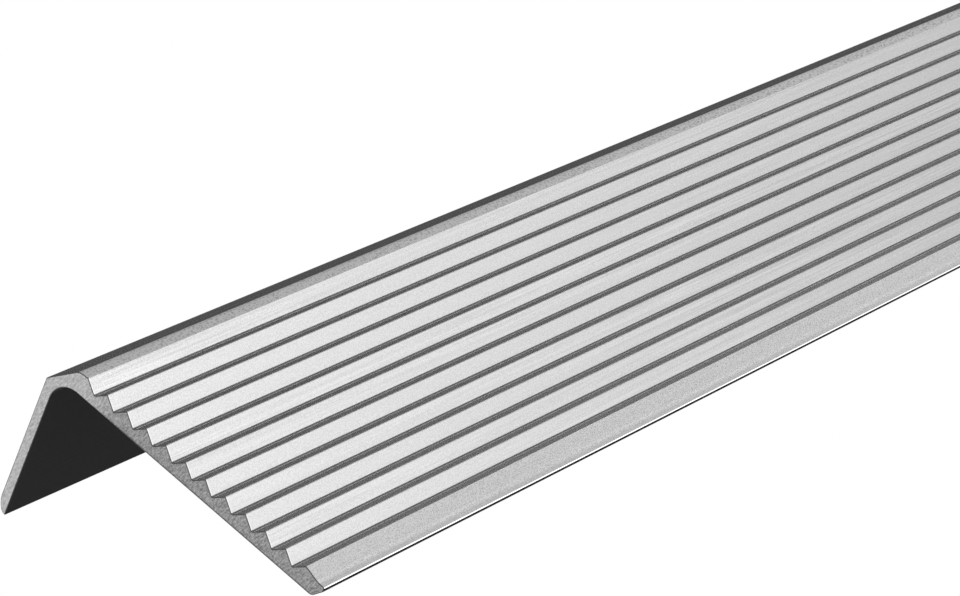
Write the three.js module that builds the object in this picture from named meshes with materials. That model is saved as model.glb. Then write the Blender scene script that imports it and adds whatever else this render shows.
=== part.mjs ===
// Threshold strip: a ribbed aluminium angle that covers the edge of a step.
//
// Millimetres, +Z up. X runs along the strip, +Y runs back over the tread of the step.
// The origin is the edge of the step that the strip covers, at the middle of its length:
// y = 0 is the inner face of the leg, and z = 0 is the face that lies on the step.

import * as THREE from 'three';

// Overall size of the extruded angle
const STRIP_LENGTH = 900;
const TREAD_WIDTH = 45;
const LEG_HEIGHT = 25;

// Thicknesses
const WALL = 1.45;
const TREAD_THICKNESS = 2.86;
const TAPE_THICKNESS = 1;
const LINER_THICKNESS = 0.1;

// Ribs: sharp ridges with V-shaped grooves between them
const RIDGE_COUNT = 12;
const RIDGE_PITCH = 3.28;
const FIRST_RIDGE_FROM_FRONT = 5.42;
const GROOVE_DEPTH = 1.43;
const RIDGE_RADIUS = 0.1;
const GROOVE_RADIUS = 0.2;

// Nose: a 45 degree chamfer between the leg and the first ridge
const NOSE_TOP_FROM_FRONT = 3.95;
const NOSE_TOP_DROP = 0.1;
const NOSE_TOP_RADIUS = 1.5;
const NOSE_FRONT_DROP = 4.1;
const NOSE_FRONT_RADIUS = 0.6;
const INNER_CORNER_RADIUS = 3.3;

// Back edge: the tread ramps down behind the last ridge, runs level to its edge and is undercut below.
// Rounding takes the overshoot off the sharp corner of the edge.
const RAMP_LENGTH = 2.3;
const RAMP_DROP = 0.68;
const RAMP_FOOT_RADIUS = 3;
const BACK_TOP_RADIUS = 0.3;
const BACK_TOP_OVERSHOOT = 0.33;
const BACK_UNDERCUT = 1.75;
const BACK_BOTTOM_RADIUS = 0.9;

// Tip of the leg: rounded on the outside, sharp on the inside
const TIP_SHOULDER_HEIGHT = 1.4;
const TIP_SHOULDER_RADIUS = 3;
const TIP_FOOT_WIDTH = 0.62;
const TIP_FOOT_RADIUS = 0.9;
const TIP_INNER_RADIUS = 0.05;

// Mounting tape: two rows under the tread, with liners a little wider and longer than the tape
const TAPE_WIDTH = 12;
const FRONT_TAPE_Y = 5;
const REAR_TAPE_Y = 27.5;
const TAPE_END_SETBACK = 4;
const LINER_SIDE_MARGIN = 0.5;
const LINER_END_MARGIN = 2;

const ARC_SEGMENTS = 6;

// Levels and edges that follow from the sizes above
const LEG_OUTER_Y = -WALL;
const UNDERSIDE_Z = LINER_THICKNESS + TAPE_THICKNESS;
const RIDGE_Z = UNDERSIDE_Z + TREAD_THICKNESS;
const LEG_TIP_Z = RIDGE_Z - LEG_HEIGHT;
const LAST_RIDGE_Y = LEG_OUTER_Y + FIRST_RIDGE_FROM_FRONT + (RIDGE_COUNT - 1) * RIDGE_PITCH;
const BACK_Y = LEG_OUTER_Y + TREAD_WIDTH + BACK_TOP_OVERSHOOT;

const aluminium = new THREE.MeshStandardMaterial({ color: 0xc9cacb, roughness: 0.38, metalness: 1 });
const foam = new THREE.MeshStandardMaterial({ color: 0xe9e8e3, roughness: 0.95, metalness: 0 });
const linerPaper = new THREE.MeshStandardMaterial({ color: 0xd9c48e, roughness: 0.55, metalness: 0 });

const corner = (y, z, radius) => ({ point: new THREE.Vector2(y, z), radius });

// Adds one corner to an outline as an arc that is tangent to the lines on both sides of it.
function addRoundedCorner(outline, before, { point, radius }, after) {
  const toBefore = before.point.clone().sub(point).normalize();
  const toAfter = after.point.clone().sub(point).normalize();
  const halfAngle = Math.acos(toBefore.dot(toAfter)) / 2;
  const tangentLength = radius / Math.tan(halfAngle);
  const towardsCentre = toBefore.clone().add(toAfter).normalize();
  const centre = point.clone().addScaledVector(towardsCentre, radius / Math.sin(halfAngle));
  const start = toBefore.clone().multiplyScalar(tangentLength).add(point).sub(centre);
  const end = toAfter.clone().multiplyScalar(tangentLength).add(point).sub(centre);
  const clockwise = toBefore.cross(toAfter) > 0;
  outline.absarc(centre.x, centre.y, radius, start.angle(), end.angle(), clockwise);
}

function roundedOutline(corners) {
  const outline = new THREE.Shape();
  const last = corners.length - 1;
  corners.forEach((current, index) => {
    const before = corners[index === 0 ? last : index - 1];
    const after = corners[index === last ? 0 : index + 1];
    addRoundedCorner(outline, before, current, after);
  });
  outline.closePath();
  return outline;
}

// The ribs from the last ridge forward to the first, with a groove after each ridge but the first.
function ribCorners() {
  const corners = [];
  for (let ridge = RIDGE_COUNT - 1; ridge >= 0; ridge -= 1) {
    const ridgeY = LEG_OUTER_Y + FIRST_RIDGE_FROM_FRONT + ridge * RIDGE_PITCH;
    corners.push(corner(ridgeY, RIDGE_Z, RIDGE_RADIUS));
    if (ridge > 0) {
      corners.push(corner(ridgeY - RIDGE_PITCH / 2, RIDGE_Z - GROOVE_DEPTH, GROOVE_RADIUS));
    }
  }
  return corners;
}

function undersideAndBackCorners() {
  return [
    corner(0, LEG_TIP_Z, TIP_INNER_RADIUS),
    corner(0, UNDERSIDE_Z, INNER_CORNER_RADIUS),
    corner(BACK_Y - BACK_UNDERCUT, UNDERSIDE_Z, BACK_BOTTOM_RADIUS),
    corner(BACK_Y, RIDGE_Z - RAMP_DROP, BACK_TOP_RADIUS),
    corner(LAST_RIDGE_Y + RAMP_LENGTH, RIDGE_Z - RAMP_DROP, RAMP_FOOT_RADIUS),
  ];
}

function noseAndLegCorners() {
  return [
    corner(LEG_OUTER_Y + NOSE_TOP_FROM_FRONT, RIDGE_Z - NOSE_TOP_DROP, NOSE_TOP_RADIUS),
    corner(LEG_OUTER_Y, RIDGE_Z - NOSE_FRONT_DROP, NOSE_FRONT_RADIUS),
    corner(LEG_OUTER_Y, LEG_TIP_Z + TIP_SHOULDER_HEIGHT, TIP_SHOULDER_RADIUS),
    corner(-TIP_FOOT_WIDTH, LEG_TIP_Z, TIP_FOOT_RADIUS),
  ];
}

// Runs an outline drawn across the strip (Y to the right, Z up) along the whole of its length.
function alongStrip(outline) {
  const geometry = new THREE.ExtrudeGeometry(outline, {
    depth: STRIP_LENGTH,
    bevelEnabled: false,
    curveSegments: ARC_SEGMENTS,
  });
  const acrossToY = new THREE.Vector3(0, 1, 0);
  const upToZ = new THREE.Vector3(0, 0, 1);
  const depthToX = new THREE.Vector3(1, 0, 0);
  geometry.translate(0, 0, -STRIP_LENGTH / 2);
  geometry.applyMatrix4(new THREE.Matrix4().makeBasis(acrossToY, upToZ, depthToX));
  return geometry;
}

function nosingProfile() {
  const outline = roundedOutline([...undersideAndBackCorners(), ...ribCorners(), ...noseAndLegCorners()]);
  const mesh = new THREE.Mesh(alongStrip(outline), aluminium);
  mesh.name = 'nosing_profile';
  return mesh;
}

// A flat band under the tread, from its front edge and its lower face.
function band(name, material, { length, width, thickness, frontY, lowerZ }) {
  const mesh = new THREE.Mesh(new THREE.BoxGeometry(length, width, thickness), material);
  mesh.name = name;
  mesh.position.set(0, frontY + width / 2, lowerZ + thickness / 2);
  return mesh;
}

function mountingTape(name, frontY) {
  return band(name, foam, {
    length: STRIP_LENGTH - 2 * TAPE_END_SETBACK,
    width: TAPE_WIDTH,
    thickness: TAPE_THICKNESS,
    frontY,
    lowerZ: LINER_THICKNESS,
  });
}

function releaseLiner(name, tapeFrontY) {
  return band(name, linerPaper, {
    length: STRIP_LENGTH - 2 * (TAPE_END_SETBACK - LINER_END_MARGIN),
    width: TAPE_WIDTH + 2 * LINER_SIDE_MARGIN,
    thickness: LINER_THICKNESS,
    frontY: tapeFrontY - LINER_SIDE_MARGIN,
    lowerZ: 0,
  });
}

const thresholdStrip = new THREE.Group();
thresholdStrip.add(nosingProfile());
thresholdStrip.add(mountingTape('front_tape', FRONT_TAPE_Y), mountingTape('rear_tape', REAR_TAPE_Y));
thresholdStrip.add(releaseLiner('front_liner', FRONT_TAPE_Y), releaseLiner('rear_liner', REAR_TAPE_Y));

export default thresholdStrip;
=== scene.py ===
"""Looks for the threshold strip: a ribbed, brushed aluminium angle with mounting tape under its tread.

Metres, in the frame of the CAD model: X along the strip, +Y back over the tread, +Z up.
"""

import math

import bmesh
import bpy
from mathutils import Matrix, Vector, noise


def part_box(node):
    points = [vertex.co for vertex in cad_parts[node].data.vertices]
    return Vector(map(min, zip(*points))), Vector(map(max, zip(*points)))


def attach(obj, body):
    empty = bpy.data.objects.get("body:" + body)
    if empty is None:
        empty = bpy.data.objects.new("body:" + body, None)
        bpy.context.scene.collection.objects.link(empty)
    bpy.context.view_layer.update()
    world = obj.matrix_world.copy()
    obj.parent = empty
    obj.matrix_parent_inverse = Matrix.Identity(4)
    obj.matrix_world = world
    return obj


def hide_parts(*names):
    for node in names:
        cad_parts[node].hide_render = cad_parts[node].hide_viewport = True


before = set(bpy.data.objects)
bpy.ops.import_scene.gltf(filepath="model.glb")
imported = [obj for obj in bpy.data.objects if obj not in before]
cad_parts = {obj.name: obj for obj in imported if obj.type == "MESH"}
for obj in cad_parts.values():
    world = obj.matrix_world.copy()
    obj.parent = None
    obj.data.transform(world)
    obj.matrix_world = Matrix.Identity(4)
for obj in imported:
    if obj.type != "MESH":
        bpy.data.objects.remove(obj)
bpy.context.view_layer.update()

MM = 0.001
MICROMETRE = 0.000001

# ---------------------------------------------------------------- sizes of the profile, in millimetres
PROFILE_LOW, PROFILE_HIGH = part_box("nosing_profile")
LENGTH = (PROFILE_HIGH.x - PROFILE_LOW.x) / MM
LEG_OUTER_Y = PROFILE_LOW.y / MM
LEG_TIP_Z = PROFILE_LOW.z / MM
UNDERSIDE_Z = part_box("front_tape")[1].z / MM

LEG_HEIGHT = 25
RIDGE_Z = LEG_TIP_Z + LEG_HEIGHT

RIDGE_COUNT = 12
RIDGE_PITCH = 3.28
FIRST_RIDGE_FROM_FRONT = 5.42
LAST_RIDGE_Y = LEG_OUTER_Y + FIRST_RIDGE_FROM_FRONT + (RIDGE_COUNT - 1) * RIDGE_PITCH
GROOVE_DEPTH = 1.43
RIDGE_RADIUS = 0.1
GROOVE_RADIUS = 0.2

NOSE_TOP_FROM_FRONT = 3.95
NOSE_TOP_DROP = 0.1
NOSE_TOP_RADIUS = 1.5
NOSE_FRONT_DROP = 4.1
NOSE_FRONT_RADIUS = 0.6
INNER_CORNER_RADIUS = 3.3

RAMP_LENGTH = 2.3
RAMP_DROP = 0.68
RAMP_FOOT_RADIUS = 3
BACK_LAND_SETBACK = 0.25  # the back edge is flat here, cut in from the rounded tip of the CAD model
BACK_UNDERCUT = 1.17
BACK_BOTTOM_RADIUS = 0.9
BACK_CHAMFER_WIDTH = 0.10
BACK_CHAMFER_DROP = 0.12
BACK_LAND_DROP = 0.64  # down to where the undercut begins
BACK_EDGE_RADIUS = 0.03
BACK_Y = PROFILE_HIGH.y / MM - BACK_LAND_SETBACK

TIP_SHOULDER_HEIGHT = 1.4
TIP_SHOULDER_RADIUS = 3
TIP_FOOT_WIDTH = 0.62
TIP_FOOT_RADIUS = 0.9
TIP_INNER_RADIUS = 0.05

EDGE_BREAK = 0.07  # the cut ends are deburred by this much
PAINTED_SHADE_WIDTH = 0.05  # painted shade: a dark band on the cut end inside the deburred edge
PAINTED_HIGHLIGHT_WIDTH = 0.12  # painted highlight: a bright band on the ribs beside it
SHARP = 0.004  # the smallest rounding
ARC_STEP = math.radians(6)
STATION_STEP = 30  # spacing of the profile's cross-sections along the strip
BAND_STEP = 4  # and of the tapes' and liners'

# Tapes and liners: how far their sides bulge, how round their edges are, and how far their sides wander
TAPE_SIDES = {"bulge": 0.12, "rounding": 0.1, "wander": 0.10}
LINER_SIDES = {"bulge": 0.02, "rounding": 0.02, "wander": 0.06}
BULGE_STEPS = 8
WANDER_ALONG = 0.11  # how fast the sides wander, in cells of noise per millimetre
WANDER_UP = 0.8
SIDES_APART = 40  # keeps the wander of the two sides unlike

# The cut end's tone changes from the nose to the tread, the tread darker as painted shade, and a band of
# painted shade lies along the tread's lower edge
TREAD_TONE_START = 3.0
TREAD_TONE_END = 12.0
LOWER_EDGE_SHADE_HEIGHT = 0.20
LOWER_EDGE_SHADE_FADE = 0.10

# ---------------------------------------------------------------- textures, in cycles per metre
FINE_BRUSHING = (40, 3900, 3900)
BROAD_BRUSHING = (14, 1300, 1300)
BRUSH_PATCHES = (7, 170, 170)
METAL_SPECKS = (4600, 5600, 5600)
SAW_STROKES = (1500, 4800, 1200)
SAW_TEARS = (900, 1100, 350)
SAW_SPECKS = (4000, 4000, 4000)
SAW_SLANT = math.radians(20)  # turned from the axes by this much
TEAR_SLANT = math.radians(32)
FOAM_CELLS = 3200.0
FOAM_MOTTLE = (220, 700, 700)
PAPER_FIBRES = (320, 2400, 2400)
CROSSING_FIBRES = (300, 2600, 2600)
FIBRE_TURN = 0.35  # in radians
CROSSING_TURN = -0.55
PAPER_CLOUDS = (60, 160, 160)


# ---------------------------------------------------------------- outline of the profile
class Corner:
    """A corner of the outline, rounded to a radius. The region names the surface from it to the next
    corner. The first share of its rounding may be another surface."""

    def __init__(self, y, z, radius, region="plain", rounding=None, share=1.0):
        self.point = Vector((y, z))
        self.radius = radius
        self.region = region
        self.rounding = rounding or region
        self.share = share


def profile_corners():
    """Anticlockwise round the section, with Y to the right and Z up."""
    corners = [
        # Painted shade: the inner leg face and the underside below the tread get a darker copy of the
        # metal
        Corner(0, LEG_TIP_Z, TIP_INNER_RADIUS, "inside"),
        Corner(0, UNDERSIDE_Z, INNER_CORNER_RADIUS, "inside"),
        Corner(BACK_Y - BACK_UNDERCUT, UNDERSIDE_Z, BACK_BOTTOM_RADIUS),
        # The back land is a real face turned from the light, darkened further by painted shade
        Corner(BACK_Y, RIDGE_Z - RAMP_DROP - BACK_LAND_DROP, BACK_EDGE_RADIUS, "inside"),
        # The back chamfer is a real facet that catches the light, made brighter by a painted highlight
        Corner(BACK_Y, RIDGE_Z - RAMP_DROP - BACK_CHAMFER_DROP, BACK_EDGE_RADIUS, "bright"),
        Corner(BACK_Y - BACK_CHAMFER_WIDTH, RIDGE_Z - RAMP_DROP, BACK_EDGE_RADIUS, "satin"),
        Corner(LAST_RIDGE_Y + RAMP_LENGTH, RIDGE_Z - RAMP_DROP, RAMP_FOOT_RADIUS, "satin"),
    ]
    for ridge in reversed(range(RIDGE_COUNT)):
        ridge_y = LAST_RIDGE_Y - (RIDGE_COUNT - 1 - ridge) * RIDGE_PITCH
        first = ridge == 0
        # The ribs' front flanks get a darker copy of the rib metal: painted shade
        front_flank = "nose" if first else "steep"
        corners.append(Corner(ridge_y, RIDGE_Z, RIDGE_RADIUS, front_flank, "rib"))
        if not first:
            groove_y = ridge_y - RIDGE_PITCH / 2
            groove_z = RIDGE_Z - GROOVE_DEPTH
            # Most of each groove's rounding gets the darkest metal: painted shade in the valley
            corners.append(Corner(groove_y, groove_z, GROOVE_RADIUS, "rib", "groove", share=0.75))
    nose_top_y = LEG_OUTER_Y + NOSE_TOP_FROM_FRONT
    corners += [
        Corner(nose_top_y, RIDGE_Z - NOSE_TOP_DROP, NOSE_TOP_RADIUS, "plain", "nose", share=0.6),
        Corner(LEG_OUTER_Y, RIDGE_Z - NOSE_FRONT_DROP, NOSE_FRONT_RADIUS),
        Corner(LEG_OUTER_Y, LEG_TIP_Z + TIP_SHOULDER_HEIGHT, TIP_SHOULDER_RADIUS),
        Corner(-TIP_FOOT_WIDTH, LEG_TIP_Z, TIP_FOOT_RADIUS),
    ]
    return corners


def arc_points(before, corner, after, inset):
    """Points of one rounded corner, with the whole outline moved inwards by inset."""
    to_before = (before.point - corner.point).normalized()
    to_after = (after.point - corner.point).normalized()
    half_angle = to_before.angle(to_after) / 2
    convex = to_after.x * to_before.y - to_after.y * to_before.x > 0
    towards_centre = (to_before + to_after).normalized()
    radius = max(corner.radius - inset, SHARP) if convex else corner.radius + inset
    centre_offset = (radius + inset if convex else corner.radius) / math.sin(half_angle)
    centre = corner.point + towards_centre * centre_offset
    turn = math.pi - 2 * half_angle
    start = math.atan2(-towards_centre.y, -towards_centre.x) - (turn / 2 if convex else -turn / 2)
    steps = 2 * max(2, math.ceil(turn / 2 / ARC_STEP))
    signed_turn = turn if convex else -turn
    angles = [start + signed_turn * step / steps for step in range(steps + 1)]
    return [centre + radius * Vector((math.cos(angle), math.sin(angle))) for angle in angles]


def profile_outline(inset):
    """The outline's points, and the region of the surface from each point to the next."""
    corners = profile_corners()
    points = []
    regions = []
    for index, corner in enumerate(corners):
        arc = arc_points(corners[index - 1], corner, corners[(index + 1) % len(corners)], inset)
        points += arc
        rounded = round(corner.share * (len(arc) - 1))
        regions += [corner.rounding] * rounded + [corner.region] * (len(arc) - rounded)
    return points, regions


# ---------------------------------------------------------------- meshes
def new_object(name, mesh, materials):
    piece = bpy.data.objects.new(name, mesh)
    bpy.context.scene.collection.objects.link(piece)
    for material in materials:
        mesh.materials.append(material)
    return piece


def even_steps(length, step):
    """Positions along X between the two ends of a length that is centred on zero."""
    count = math.ceil(length / step)
    return [length * (index / count - 0.5) for index in range(1, count)]


def join_rings(mesh, rings, choose_index):
    """Faces between each ring of points and the next. choose_index gives the material of one of them."""
    for place, (here, there) in enumerate(zip(rings, rings[1:])):
        for side in range(len(here)):
            after = (side + 1) % len(here)
            face = mesh.faces.new((here[side], there[side], there[after], here[after]))
            face.material_index = choose_index(place, side)


def finish_mesh(name, mesh, sharp_angle):
    bmesh.ops.recalc_face_normals(mesh, faces=mesh.faces)
    made = bpy.data.meshes.new(name)
    mesh.to_mesh(made)
    mesh.free()
    made.shade_smooth()
    made.set_sharp_from_angle(angle=math.radians(sharp_angle))
    return made


def profile_mesh(name, material_index):
    """The profile, with painted shade on the broken edge and on a thin band inside it round each cut end,
    and a painted highlight on a band beside it on the ribs' back flanks."""
    half = LENGTH / 2
    edge = half - EDGE_BREAK
    cut = [(edge - PAINTED_HIGHLIGHT_WIDTH, 0.0), (edge, 0.0), (half, EDGE_BREAK), (half, EDGE_BREAK + PAINTED_SHADE_WIDTH)]
    middle = [(x, 0.0) for x in even_steps(LENGTH, STATION_STEP)]
    places = [(-x, inset) for x, inset in reversed(cut)] + middle + cut
    mesh = bmesh.new()
    rings = []
    for x, inset in places:
        points, regions = profile_outline(inset)
        rings.append([mesh.verts.new((x * MM, p.x * MM, p.y * MM)) for p in points])

    def choose_index(place, side):
        from_end = min(place, len(rings) - 2 - place)
        # Painted shade on the broken edge and on the band inside it
        if from_end < 2:
            return material_index["cut edge"]
        # A band of the ribs next to the broken edge gets a painted highlight
        highlight_band = from_end == 2 and regions[side] == "rib"
        return material_index["bright" if highlight_band else regions[side]]

    join_rings(mesh, rings, choose_index)
    for ring in (rings[0], rings[-1][::-1]):
        mesh.faces.new(ring).material_index = material_index["cut end"]
    return finish_mesh(name, mesh, sharp_angle=20)


# ---------------------------------------------------------------- node helpers
class Nodes:
    """Adds nodes to the node tree of a material or of the world, and joins them."""

    def __init__(self, tree):
        self.tree = tree

    def add(self, kind, inputs=None, **settings):
        node = self.tree.nodes.new(kind)
        for key, value in settings.items():
            setattr(node, key, value)
        for key, value in (inputs or {}).items():
            if isinstance(value, bpy.types.NodeSocket):
                self.tree.links.new(value, node.inputs[key])
            else:
                node.inputs[key].default_value = value
        return node

    def pattern(self, scale, rotation=(0, 0, 0), detail=2.0, roughness=0.5):
        """Noise from 0 to 1, with scale cycles per metre along each axis after the turn."""
        place = self.add("ShaderNodeTexCoord")
        turned = self.add("ShaderNodeMapping", {0: place.outputs["Object"], "Rotation": rotation})
        sized = self.add("ShaderNodeMapping", {0: turned.outputs[0], "Scale": scale})
        cloud = self.add(
            "ShaderNodeTexNoise",
            {"Vector": sized.outputs[0], "Scale": 1.0, "Detail": detail, "Roughness": roughness},
        )
        return cloud.outputs["Fac"]

    def remap(self, value, low, high, from_low=0.3, from_high=0.7):
        """Goes from low to high as value goes from from_low to from_high, and stays put beyond them."""
        source = {"Value": value, "From Min": from_low, "From Max": from_high}
        return self.add("ShaderNodeMapRange", {**source, "To Min": low, "To Max": high}).outputs[0]

    def spread(self, noise_value, reach):
        """Stretches noise, which strays from 0.5 by about reach, over the range from -1 to 1."""
        return self.remap(noise_value, -1, 1, 0.5 - reach, 0.5 + reach)

    def step(self, value, start, end):
        """Rises smoothly from 0 at start to 1 at end."""
        inputs = {"Value": value, "From Min": start, "From Max": end}
        return self.add("ShaderNodeMapRange", inputs, interpolation_type="SMOOTHSTEP").outputs[0]

    def maths(self, operation, first, second):
        return self.add("ShaderNodeMath", {0: first, 1: second}, operation=operation).outputs[0]

    def weighted_sum(self, *terms):
        """The sum of values, each times its weight."""
        total = 0.0
        for value, weight in terms:
            total = self.maths("ADD", total, self.maths("MULTIPLY", value, weight))
        return total

    def blend(self, factor, low, high):
        node = self.add("ShaderNodeMix", {"Factor": factor}, data_type="RGBA")
        node.inputs[6].default_value = (*low, 1)
        node.inputs[7].default_value = (*high, 1)
        return node.outputs[2]

    def set_surface(self, shader, colour, roughness, height, depth, strength=1.0):
        """Gives the shader its colour and roughness, and bumps of a depth in metres."""
        inputs = {"Strength": strength, "Distance": depth, "Height": height}
        bumps = self.add("ShaderNodeBump", inputs)
        self.tree.links.new(colour, shader.inputs["Base Color"])
        self.tree.links.new(roughness, shader.inputs["Roughness"])
        self.tree.links.new(bumps.outputs[0], shader.inputs["Normal"])


def new_material(name):
    material = bpy.data.materials.new(name)
    material.use_nodes = True
    material.node_tree.nodes.clear()
    nodes = Nodes(material.node_tree)
    shader = nodes.add("ShaderNodeBsdfPrincipled")
    nodes.add("ShaderNodeOutputMaterial", {"Surface": shader.outputs[0]})
    return material, nodes, shader


def grey(value):
    return (value, value, value)


def metal_material(name, tone, rough, lines, grain, relief, speck_size=1.0):
    """Aluminium of a mean brightness and roughness. lines and grain are how far brush lines and specks
    vary both, as shares of them. relief is the depth of the marks in micrometres, and speck_size
    makes the specks larger."""
    material, nodes, shader = new_material(name)
    fine = nodes.spread(nodes.pattern(FINE_BRUSHING, roughness=0.6), 0.14)
    broad = nodes.spread(nodes.pattern(BROAD_BRUSHING, detail=1.0), 0.15)
    patches = nodes.remap(nodes.pattern(BRUSH_PATCHES, detail=1.0), 0.1, 1.0, 0.42, 0.60)
    brushed = nodes.maths("MULTIPLY", nodes.weighted_sum((fine, 0.8), (broad, 0.2)), patches)
    specks = nodes.spread(nodes.pattern(Vector(METAL_SPECKS) / speck_size, detail=1.5), 0.16)
    marks = nodes.weighted_sum((brushed, lines), (specks, grain))
    colour = nodes.blend(nodes.remap(marks, 0, 1, -0.5, 0.5), grey(tone * 0.5), grey(tone * 1.5))
    roughness = nodes.remap(marks, rough * 1.3, rough * 0.7, -0.5, 0.5)
    nodes.set_surface(shader, colour, roughness, marks, relief * MICROMETRE)
    shader.inputs["Metallic"].default_value = 1.0
    return material


def sawn_material():
    """The saw-cut end: slanting saw marks over a mottled, torn ground. It is brighter on the leg and nose
    than on the tread, whose darker tone is painted shade, and a band of painted shade lies along the
    tread's lower edge."""
    material, nodes, shader = new_material("sawn_aluminium")
    strokes = nodes.spread(nodes.pattern(SAW_STROKES, (SAW_SLANT, 0, 0), roughness=0.6), 0.16)
    torn = nodes.spread(nodes.pattern(SAW_TEARS, (TEAR_SLANT, 0, 0)), 0.15)
    specks = nodes.spread(nodes.pattern(SAW_SPECKS, detail=1.5), 0.16)
    marks = nodes.weighted_sum((strokes, 0.18), (torn, 0.03), (specks, 0.13))
    place = nodes.add("ShaderNodeTexCoord").outputs["Object"]
    across, up = nodes.add("ShaderNodeSeparateXYZ", {0: place}).outputs[1:]
    # Painted shade: the tread part of the cut end is made darker
    tread = nodes.step(across, TREAD_TONE_START * MM, TREAD_TONE_END * MM)
    # Painted shade: a dark band along the tread's lower edge
    edge_shade_top = UNDERSIDE_Z + LOWER_EDGE_SHADE_HEIGHT
    lower_edge = nodes.step(up, (edge_shade_top + LOWER_EDGE_SHADE_FADE) * MM, edge_shade_top * MM)
    painted_edge_shade = nodes.maths("MULTIPLY", lower_edge, tread)
    share = nodes.weighted_sum((tread, -0.42), (marks, 1.0), (painted_edge_shade, -0.5))
    colour = nodes.blend(nodes.remap(share, 0, 1, -0.8, 0.4), grey(0.135), grey(0.62))
    roughness = nodes.remap(marks, 0.60, 0.44, -0.24, 0.24)
    nodes.set_surface(shader, colour, roughness, marks, 0.03 * MM)
    shader.inputs["Metallic"].default_value = 0.95
    return material


def foam_material():
    """Pale closed-cell foam: small cells, some open, over a faint mottling."""
    material, nodes, shader = new_material("pale_foam")
    place = nodes.add("ShaderNodeTexCoord").outputs["Object"]
    cells = nodes.add("ShaderNodeTexVoronoi", {"Vector": place, "Scale": FOAM_CELLS})
    walls = nodes.remap(cells.outputs["Distance"], 0, 1, 0.15, 0.75)
    mottle = nodes.remap(nodes.pattern(FOAM_MOTTLE), 0, 1)
    tint = nodes.weighted_sum((walls, 0.55), (mottle, 0.45))
    colour = nodes.blend(tint, (0.70, 0.68, 0.63), (0.90, 0.89, 0.86))
    roughness = nodes.remap(mottle, 0.80, 0.95, 0, 1)
    nodes.set_surface(shader, colour, roughness, walls, 0.06 * MM, strength=0.8)
    return material


def liner_material():
    """Tan siliconised paper: faint fibres both ways, cloudy patches and a soft sheen."""
    material, nodes, shader = new_material("tan_liner_paper")
    fibres = nodes.remap(nodes.pattern(PAPER_FIBRES, (0, 0, FIBRE_TURN), 3.0, 0.6), 0, 1)
    crossing = nodes.remap(nodes.pattern(CROSSING_FIBRES, (0, 0, CROSSING_TURN), 3.0, 0.6), 0, 1)
    clouds = nodes.remap(nodes.pattern(PAPER_CLOUDS, detail=3.0), 0, 1)
    tint = nodes.weighted_sum((fibres, 0.35), (crossing, 0.30), (clouds, 0.35))
    colour = nodes.blend(tint, (0.66, 0.53, 0.30), (0.86, 0.75, 0.52))
    roughness = nodes.remap(tint, 0.52, 0.34, 0, 1)
    nodes.set_surface(shader, colour, roughness, tint, 0.02 * MM, strength=0.5)
    return material


# ---------------------------------------------------------------- the aluminium profile
def profile_surfaces():
    """The profile's materials by region of its outline."""
    brushed = {"lines": 0.06, "grain": 0.08, "relief": 2.0}
    smooth = {"lines": 0.03, "grain": 0.03}
    satin = {"tone": 0.94, "rough": 0.44, "relief": 3.0}
    return {
        "plain": metal_material("mill_aluminium", tone=0.66, rough=0.26, **brushed),
        # Painted shade: a darker copy of the metal for the inner leg face, the underside and the back
        # land
        "inside": metal_material("inner_painted_shade_aluminium", tone=0.40, rough=0.30, **brushed),
        "rib": metal_material(
            "brushed_aluminium", tone=0.80, rough=0.17, lines=0.115, grain=0.085, relief=2.0
        ),
        # Painted shade: the ribs' front flanks, a darker copy of the metal on their back flanks
        "steep": metal_material(
            "smooth_flank_painted_shade_aluminium", tone=0.58, rough=0.15, lines=0.05, grain=0.02, relief=0.5
        ),
        # Painted shade: the groove bottoms, darkened where shade falls
        "groove": metal_material("groove_painted_shade_aluminium", tone=0.31, rough=0.75, relief=1.0, **smooth),
        "satin": metal_material("satin_aluminium", lines=0.04, grain=0.17, **satin),
        "nose": metal_material("nose_aluminium", lines=0.06, grain=0.34, speck_size=1.8, **satin),
        # Painted highlight: the back chamfer and the bands on the ribs beside the cut ends
        "bright": metal_material("painted_highlight_aluminium", tone=1.0, rough=0.10, relief=0.5, **smooth),
        # Painted shade: the dark outline round the cut ends, on the broken edge and a band inside it
        "cut edge": metal_material(
            "painted_shade_edge", tone=0.10, rough=0.45, lines=0.04, grain=0.10, relief=1.0
        ),
        "cut end": sawn_material(),
    }


def make_profile():
    surfaces = profile_surfaces()
    material_index = {region: index for index, region in enumerate(surfaces)}
    mesh = profile_mesh("brushed_profile", material_index)
    profile = new_object("brushed_profile", mesh, surfaces.values())
    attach(profile, "strip")
    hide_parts("nosing_profile")


# ---------------------------------------------------------------- tapes and liners
def band_section(width, height, bulge, rounding):
    """Points up one side of a band's section, measured from its middle. The side bulges out and its
    edges are round."""
    side = []
    for step in range(1, BULGE_STEPS):
        turn = math.pi * (step / BULGE_STEPS - 0.5)
        out = width / 2 - bulge * (1 - math.cos(turn))
        side.append((out, height / 2 * math.sin(turn)))
    flat = width / 2 - bulge - rounding
    return [(flat, -height / 2), *side, (flat, height / 2)]


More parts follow.
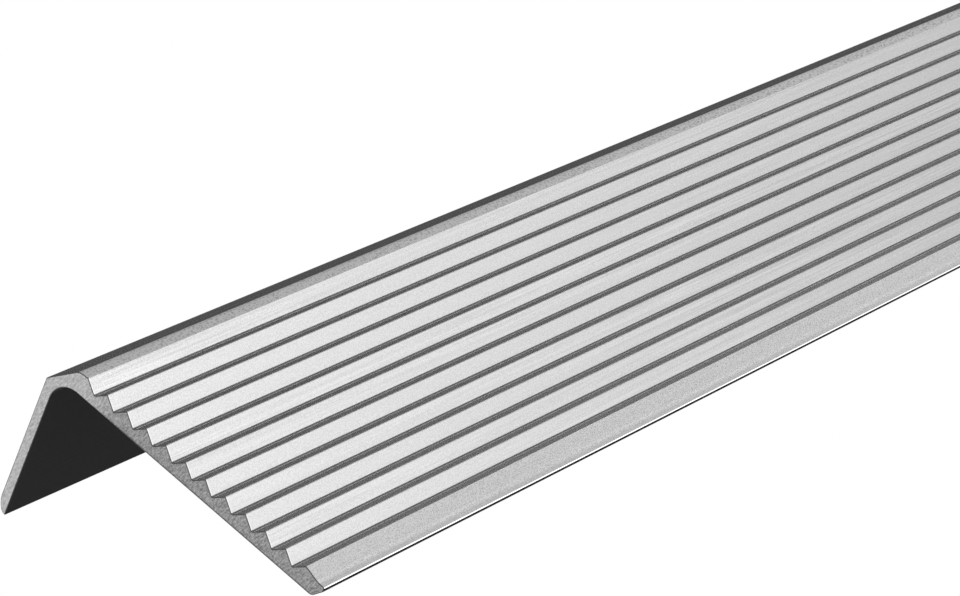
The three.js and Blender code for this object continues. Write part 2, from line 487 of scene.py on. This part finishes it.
def band_mesh(name, low, high, bulge, rounding, wander):
    """A band along X that fills a box. Its sides wander in by up to wander, as a knife cut in soft
    stuff does."""
    size = (high - low) / MM
    middle = (high + low) / 2 / MM
    half = band_section(size.y, size.z, bulge, rounding)
    section = half + [(-y, z) for y, z in reversed(half)]
    mesh = bmesh.new()
    rings = []
    for x in (-size.x / 2, *even_steps(size.x, BAND_STEP), size.x / 2):
        ring = []
        for y, z in section:
            seed = Vector((x * WANDER_ALONG, math.copysign(SIDES_APART, y), z * WANDER_UP))
            inwards = wander * (0.5 + 0.5 * noise.noise(seed))
            across = y - math.copysign(max(0.0, inwards), y)
            point = (x + middle.x, across + middle.y, z + middle.z)
            ring.append(mesh.verts.new([value * MM for value in point]))
        rings.append(ring)
    join_rings(mesh, rings, lambda place, side: 0)
    mesh.faces.new(rings[0])
    mesh.faces.new(rings[-1][::-1])
    return finish_mesh(name, mesh, sharp_angle=40)


def make_band(name, node, body, material, sides):
    low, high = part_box(node)
    piece = new_object(name, band_mesh(name, low, high, **sides), [material])
    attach(piece, body)
    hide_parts(node)


def make_tapes_and_liners():
    foam = foam_material()
    paper = liner_material()
    for place in ("front", "rear"):
        tape = f"{place}_tape"
        liner = f"{place}_liner"
        make_band(f"{place}_foam_tape", tape, "strip", foam, TAPE_SIDES)
        make_band(f"{place}_paper_liner", liner, liner, paper, LINER_SIDES)


# ---------------------------------------------------------------- camera, light and floor
def make_camera():
    """The photograph's view: down the strip from above its back edge, close to one end."""
    azimuth = math.radians(115.74)
    elevation = math.radians(32.70)
    roll = math.radians(24.43)
    distance = 0.5140
    aim_from_end = 0.0624
    aim_from_edge = 0.01595
    aim = Vector((PROFILE_HIGH.x - aim_from_end, aim_from_edge, PROFILE_HIGH.z))
    back = Vector((
        math.sin(azimuth) * math.cos(elevation),
        -math.cos(azimuth) * math.cos(elevation),
        math.sin(elevation),
    ))
    data = bpy.data.cameras.new("camera")
    data.sensor_width = 36
    data.lens = 150.8
    data.clip_start = 0.01
    camera = bpy.data.objects.new("camera", data)
    bpy.context.scene.collection.objects.link(camera)
    upright = back.to_track_quat("Z", "Y").to_matrix().to_4x4()
    rolled = upright @ Matrix.Rotation(roll, 4, "Z")
    camera.matrix_world = Matrix.Translation(aim + back * distance) @ rolled
    bpy.context.scene.camera = camera


def panel(nodes, angle, low, high, soft, strength):
    """A long light parallel to the strip. It fills the angles from low to high round the strip, in
    degrees, and fades out over soft more degrees on both sides."""
    rise = nodes.step(angle, math.radians(low - soft), math.radians(low))
    fall = nodes.step(angle, math.radians(high + soft), math.radians(high))
    return nodes.maths("MULTIPLY", nodes.maths("MULTIPLY", rise, fall), strength)


def lobe(nodes, direction, towards, strength, tightness):
    """Soft light from round a direction: all of its strength there, fading to nothing opposite."""
    inputs = {0: direction, 1: Vector(towards).normalized()}
    cosine = nodes.add("ShaderNodeVectorMath", inputs, operation="DOT_PRODUCT").outputs["Value"]
    half = nodes.maths("MULTIPLY", nodes.maths("ADD", cosine, 1.0), 0.5)
    return nodes.maths("MULTIPLY", nodes.maths("POWER", half, tightness), strength)


def graded(nodes, light, along, low, high, start, end):
    """A light that changes along the strip: it is scaled by low up to start, and by high from end on."""
    return nodes.maths("MULTIPLY", light, nodes.remap(along, low, high, start, end))


def studio_lights(nodes, direction):
    """Panels round the strip and soft lobes. angle goes round the strip from 0 straight behind, over
    the top, and front_angle from 0 straight in front, upwards. along goes from -1 in the direction of
    the far end to 1 in the direction of the near end."""
    along, back, up = nodes.add("ShaderNodeSeparateXYZ", {0: direction}).outputs
    angle = nodes.maths("ARCTAN2", up, back)
    front_angle = nodes.maths("ARCTAN2", up, nodes.maths("MULTIPLY", back, -1.0))
    above_back = panel(nodes, angle, 8, 52, 12, 1.0)
    stripe = panel(nodes, angle, 17, 28, 5, 0.7)
    overhead = panel(nodes, angle, 89, 105, 5, 1.0)
    above_front = panel(nodes, angle, 126, 170, 12, 1.0)
    haze = panel(nodes, angle, 50, 175, 10, 0.075)
    in_front = panel(nodes, front_angle, -70, 5, 20, 1.0)
    low_behind = panel(nodes, angle, -28, 0, 8, 0.5)
    towards_far_end = nodes.maths(
        "MULTIPLY",
        nodes.remap(along, 0.0, 1.0, -0.72, -0.6),
        nodes.remap(along, 1.0, 0.0, -0.3, 0.0),
    )
    return [
        graded(nodes, above_back, along, 0.5, 1.12, -0.88, -0.66),
        stripe,
        graded(nodes, overhead, along, 1.0, 0.55, -0.5, 0.2),
        graded(nodes, above_front, along, 0.50, 0.23, -0.83, -0.69),
        haze,
        graded(nodes, in_front, along, 0.058, 0.24, -0.62, -0.40),
        nodes.remap(along, 0.0, 0.24, -0.35, 0.05),
        lobe(nodes, direction, (0.35, -0.15, -1.0), 1.6, 14.0),
        lobe(nodes, direction, (0.70, -0.60, -0.35), 0.28, 8.0),
        lobe(nodes, direction, (0.65, 0.56, 0.52), 0.9, 20.0),
        nodes.maths("MULTIPLY", low_behind, towards_far_end),
    ]


def make_light():
    """A soft studio for light and reflections. The camera itself sees plain white in its place."""
    world = bpy.data.worlds.new("studio")
    bpy.context.scene.world = world
    world.use_nodes = True
    world.node_tree.nodes.clear()
    nodes = Nodes(world.node_tree)
    direction = nodes.add("ShaderNodeTexCoord").outputs["Generated"]
    total = 0.008  # a trace of light from everywhere
    for light in studio_lights(nodes, direction):
        total = nodes.maths("ADD", light, total)
    white = (1, 1, 1, 1)
    studio = nodes.add("ShaderNodeBackground", {"Color": white, "Strength": total})
    backdrop = nodes.add("ShaderNodeBackground", {"Color": white, "Strength": 1.0})
    seen = nodes.add("ShaderNodeLightPath").outputs["Is Camera Ray"]
    mixed = nodes.add("ShaderNodeMixShader", {0: seen, 1: studio.outputs[0], 2: backdrop.outputs[0]})
    nodes.add("ShaderNodeOutputWorld", {"Surface": mixed.outputs[0]})


def make_floor():
    """A pale floor just below the leg's tip, evenly bright, seen only from above. It lights nothing."""
    material = bpy.data.materials.new("pale_floor")
    material.use_nodes = True
    material.node_tree.nodes.clear()
    nodes = Nodes(material.node_tree)
    glow = nodes.add("ShaderNodeEmission", {"Color": (1, 1, 1, 1), "Strength": 1.0})
    nothing = nodes.add("ShaderNodeBsdfTransparent")
    below = nodes.add("ShaderNodeNewGeometry").outputs["Backfacing"]
    one_sided = nodes.add("ShaderNodeMixShader", {0: below, 1: glow.outputs[0], 2: nothing.outputs[0]})
    nodes.add("ShaderNodeOutputMaterial", {"Surface": one_sided.outputs[0]})
    gap = 0.5 * MM
    bpy.ops.mesh.primitive_plane_add(size=12, location=(0, 0, PROFILE_LOW.z - gap))
    floor = bpy.context.active_object
    floor.name = "floor"
    floor.data.materials.append(material)
    floor.visible_diffuse = False
    floor.visible_glossy = False
    floor.visible_shadow = False


bpy.context.scene.view_settings.view_transform = "Standard"
make_camera()
make_light()
make_floor()
make_profile()
make_tapes_and_liners()
